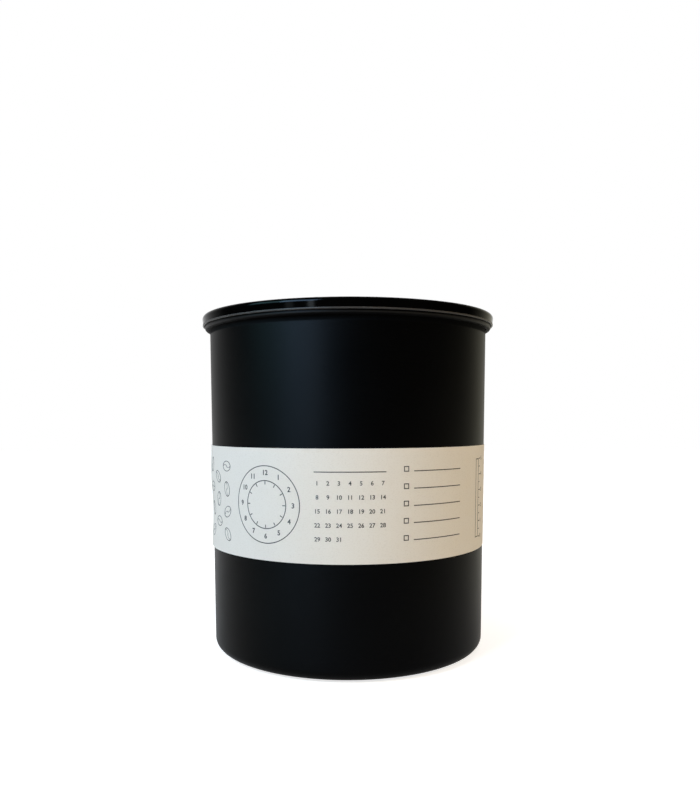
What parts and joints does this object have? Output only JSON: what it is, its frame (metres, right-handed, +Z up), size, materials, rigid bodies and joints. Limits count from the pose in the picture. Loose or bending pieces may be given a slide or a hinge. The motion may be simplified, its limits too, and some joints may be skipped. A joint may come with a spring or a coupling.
{
  "type": "vacuum seal canister",
  "caption": "Round steel storage canister with a paper sleeve, a clear cap lid, and a sliding inner lid whose fold-up handle opens an air valve.",
  "frame": {"origin": "middle of the plane that the canister rests on", "axes": "+Z up along the can's axis, the front of the sleeve towards -Y, the handle's axle along X"},
  "size_m": [0.1773, 0.1772, 0.2032],
  "materials": {
    "can_paint": "matt black powder coat",
    "pad_rubber": "matt moulded rubber",
    "sleeve_paper": "uncoated cream paper with grey line print",
    "clear_plastic": "clear polished plastic",
    "dish_plastic": "fine moulded grain",
    "seal_rubber": "soft grey silicone",
    "handle_plastic": "satin moulded plastic",
    "bare_steel": "drawn bright steel",
    "screw_steel": "bright zinc",
    "spring_steel": "drawn spring wire",
    "valve_plastic": "natural moulded plastic"
  },
  "bodies": {
    "canister": {"can_shell": "can_paint", "base_pad": "pad_rubber", "label_sleeve": "sleeve_paper"},
    "cap": {"top_lid": "clear_plastic"},
    "inner_lid": {"inner_lid_dish": "dish_plastic", "lower_wiper_seal": "seal_rubber", "upper_wiper_seal": "seal_rubber", "valve_cover": "dish_plastic", "cover_screws": "screw_steel", "left_hinge_cap": "dish_plastic", "right_hinge_cap": "dish_plastic", "hinge_cap_screws": "screw_steel", "valve_spring": "spring_steel"},
    "handle": {"handle_bow": "handle_plastic", "bow_pins": "bare_steel", "handle_axle": "bare_steel", "left_axle_clip": "bare_steel", "right_axle_clip": "bare_steel", "valve_cam": "valve_plastic", "cam_pin": "bare_steel"},
    "valve": {"valve_poppet": "valve_plastic", "valve_disc": "seal_rubber"}
  },
  "joints": [
    {"name": "top_lid_lift", "type": "slide", "parent": "canister", "child": "cap", "axis": [0, 0, 1], "range_m": [0, 0.12]},
    {"name": "inner_lid_slide", "type": "slide", "parent": "canister", "child": "inner_lid", "axis": [0, 0, 1], "range_m": [-0.115, 0]},
    {"name": "handle_fold", "type": "hinge", "parent": "inner_lid", "child": "handle", "pos_m": [0, 0, 0.1378], "axis": [1, 0, 0], "range_deg": [0, 90]},
    {"name": "valve_lift", "type": "slide", "parent": "inner_lid", "child": "valve", "axis": [0, 0, 1], "range_m": [0, 0.0031], "deforming": ["valve_spring"]}
  ],
  "couplings": [
    {"joint": "valve_lift", "follows": "handle_fold", "m_per_rad": 0.0019099}
  ]
}
